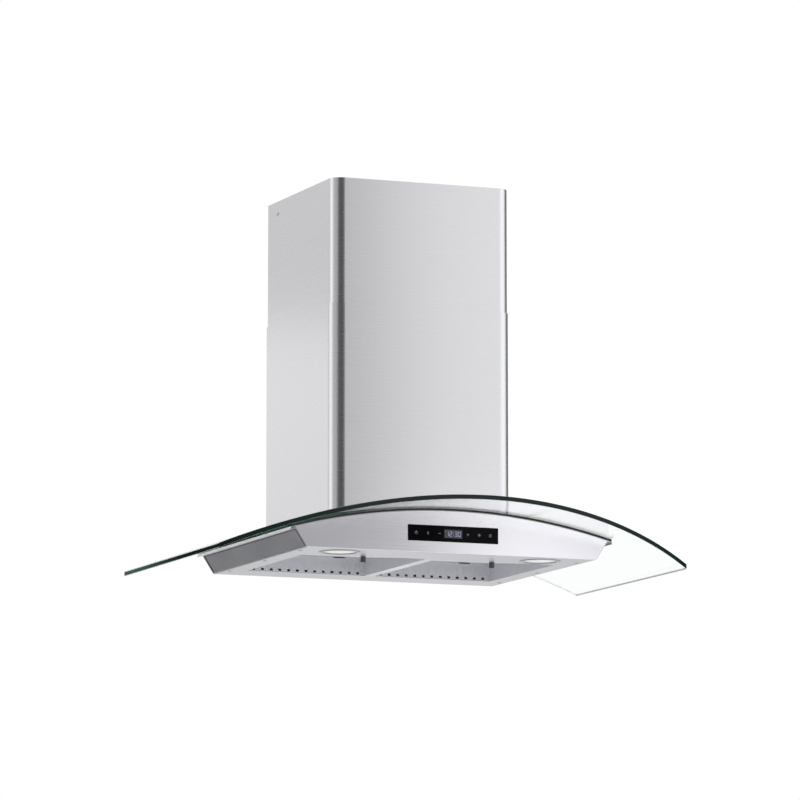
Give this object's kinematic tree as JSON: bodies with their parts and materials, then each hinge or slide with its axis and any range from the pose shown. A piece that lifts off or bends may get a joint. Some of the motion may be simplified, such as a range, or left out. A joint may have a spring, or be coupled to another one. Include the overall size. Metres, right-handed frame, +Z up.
{
  "type": "range hood",
  "caption": "Wall-mounted range hood: low steel canopy under a wide curved glass sheet, telescopic chimney, tilting grease filters, lamps, blower and outlet dampers.",
  "frame": {"origin": "midway between the two hanging holes, on the wall plane", "axes": "+Z up, +Y into the wall, -Y towards the cook, +X to the cook's right"},
  "size_m": [0.9, 0.625, 0.7016],
  "materials": {
    "brushed_stainless": "satin, fine horizontal brushing",
    "galvanised_steel": "dull zinc coat",
    "filter_aluminium": "pressed, satin",
    "canopy_glass": "clear tempered glass with green polished edges",
    "black_glass": "back-painted black, glossy",
    "display_film": "blue-grey window",
    "circuit_board": "solder-masked board",
    "black_plastic": "fine-grained moulding",
    "gasket_rubber": "matt black",
    "lamp_ring": "satin turned ring",
    "lamp_lens": "frosted glass",
    "lamp_housing": "die-cast",
    "motor_paint": "black stove enamel",
    "impeller_plastic": "glass-filled moulding",
    "zinc_screw": "bright zinc plate",
    "capacitor_case": "white case"
  },
  "bodies": {
    "canopy": {"blower_box": "galvanised_steel", "blower_screws": "zinc_screw", "cable_gland": "black_plastic", "capacitor": "capacitor_case", "chimney_lower": "brushed_stainless", "clip_screws": "zinc_screw", "collar_screws": "zinc_screw", "control_board": "circuit_board", "control_box": "galvanised_steel", "control_box_lid": "galvanised_steel", "control_display": "display_film", "control_fascia": "black_glass", "control_tray": "black_plastic", "damper_pin": "zinc_screw", "duct_collar": "black_plastic", "filter_divider": "brushed_stainless", "front_panel": "brushed_stainless", "glass_canopy": "canopy_glass", "glass_gasket": "gasket_rubber", "glass_pads": "gasket_rubber", "glass_screws": "zinc_screw", "glass_washers": "gasket_rubber", "inlet_ring_left": "black_plastic", "inlet_ring_right": "black_plastic", "lamp_left_bezel": "lamp_ring", "lamp_left_body": "lamp_housing", "lamp_left_lens": "lamp_lens", "lamp_right_bezel": "lamp_ring", "lamp_right_body": "lamp_housing", "lamp_right_lens": "lamp_lens", "lower_cover_clips": "galvanised_steel", "motor": "motor_paint", "motor_bracket": "galvanised_steel", "pan_screws": "zinc_screw", "rear_panel": "galvanised_steel", "rear_vent_wall": "brushed_stainless", "scroll_housing": "galvanised_steel", "side_panel_left": "brushed_stainless", "side_panel_right": "brushed_stainless", "top_deck": "brushed_stainless", "underside_pan": "brushed_stainless"},
    "upper_cover": {"chimney_upper": "brushed_stainless", "chimney_wall_bracket": "galvanised_steel", "upper_cover_screws": "zinc_screw"},
    "filter_left": {"filter_left_frame": "filter_aluminium", "filter_left_baffles": "filter_aluminium"},
    "filter_right": {"filter_right_frame": "filter_aluminium", "filter_right_baffles": "filter_aluminium"},
    "latch_left": {"filter_left_latch": "black_plastic"},
    "latch_right": {"filter_right_latch": "black_plastic"},
    "fan_wheel": {"impeller": "impeller_plastic", "motor_shaft": "zinc_screw"},
    "damper_front": {"damper_flap_front": "black_plastic"},
    "damper_rear": {"damper_flap_rear": "black_plastic"}
  },
  "joints": [
    {"name": "upper_cover_slide", "type": "slide", "parent": "canopy", "child": "upper_cover", "axis": [0, 0, 1], "range_m": [-0.18, 0.13]},
    {"name": "fan_spin", "type": "hinge", "parent": "canopy", "child": "fan_wheel", "pos_m": [0, -0.112, -0.088], "axis": [1, 0, 0], "continuous": true},
    {"name": "damper_front_swing", "type": "hinge", "parent": "canopy", "child": "damper_front", "pos_m": [0, -0.167, 0.076], "axis": [-1, 0, 0], "range_deg": [0, 75]},
    {"name": "damper_rear_swing", "type": "hinge", "parent": "canopy", "child": "damper_rear", "pos_m": [0, -0.167, 0.076], "axis": [1, 0, 0], "range_deg": [0, 75]},
    {"name": "filter_left_tilt", "type": "hinge", "parent": "canopy", "child": "filter_left", "pos_m": [0, -0.0744, -0.2664], "axis": [1, 0, 0], "range_deg": [0, 40]},
    {"name": "latch_left_pull", "type": "slide", "parent": "filter_left", "child": "latch_left", "axis": [0, 0.9943, 0.107], "range_m": [0, 0.005], "stiffness_N_per_m": 300, "springref_m": -0.008},
    {"name": "filter_right_tilt", "type": "hinge", "parent": "canopy", "child": "filter_right", "pos_m": [0, -0.0744, -0.2664], "axis": [1, 0, 0], "range_deg": [0, 40]},
    {"name": "latch_right_pull", "type": "slide", "parent": "filter_right", "child": "latch_right", "axis": [0, 0.9943, 0.107], "range_m": [0, 0.005], "stiffness_N_per_m": 300, "springref_m": -0.008}
  ]
}
